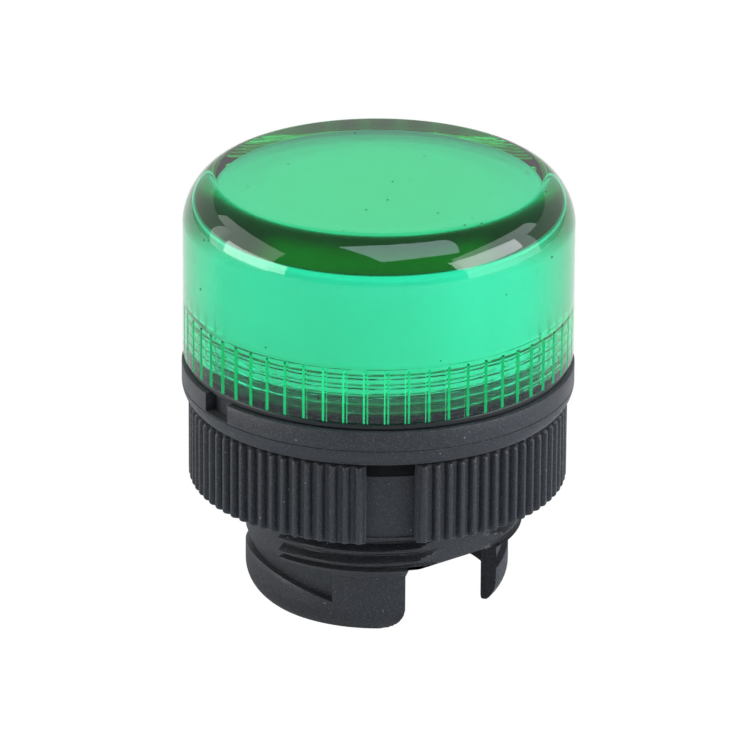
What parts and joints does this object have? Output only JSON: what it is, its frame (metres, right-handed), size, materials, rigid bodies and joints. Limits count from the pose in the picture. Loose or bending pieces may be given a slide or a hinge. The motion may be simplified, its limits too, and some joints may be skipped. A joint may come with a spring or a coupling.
{
  "type": "panel pilot light head",
  "caption": "Round panel pilot light head: clear green screw-on lens over a milky diffuser, black bezel and threaded shank with bayonet legs, panel gasket and ribbed ring nut.",
  "frame": {"origin": "on the axis, at the plane of the bayonet legs' feet", "axes": "+Z along the axis towards the lens; -Y is the side of the shank flat over the first leg gap"},
  "size_m": [0.0292, 0.0292, 0.0325],
  "materials": {
    "lens_green": "clear green polycarbonate, polished mould",
    "diffuser_milky": "milky translucent polycarbonate",
    "body_black": "black glass-filled polyamide, fine spark texture",
    "nut_black": "black polyamide, fine spark texture",
    "seal_rubber": "smooth black nitrile rubber",
    "gasket_rubber": "black nitrile rubber"
  },
  "bodies": {
    "head": {"body": "body_black", "diffuser": "diffuser_milky"},
    "gasket": {"panel_gasket": "gasket_rubber"},
    "nut": {"ring_nut": "nut_black"},
    "seal": {"lens_seal": "seal_rubber"},
    "lens": {"lens_cap": "lens_green"}
  },
  "joints": [
    {"name": "nut_travel", "type": "slide", "parent": "head", "child": "gasket", "axis": [0, 0, 1], "range_m": [-0.008, 0]},
    {"name": "nut_turn", "type": "hinge", "parent": "gasket", "child": "nut", "pos_m": [0, 0, 0.012], "axis": [0, 0, 1], "range_deg": [-2880, 0]},
    {"name": "lens_travel", "type": "slide", "parent": "head", "child": "seal", "axis": [0, 0, 1], "range_m": [0, 0.0015]},
    {"name": "lens_turn", "type": "hinge", "parent": "seal", "child": "lens", "pos_m": [0, 0, 0.025], "axis": [0, 0, 1], "range_deg": [0, 720]}
  ],
  "couplings": [
    {"joint": "nut_travel", "follows": "nut_turn", "m_per_rad": 0.00015915},
    {"joint": "lens_travel", "follows": "lens_turn", "m_per_rad": 0.00011937}
  ]
}
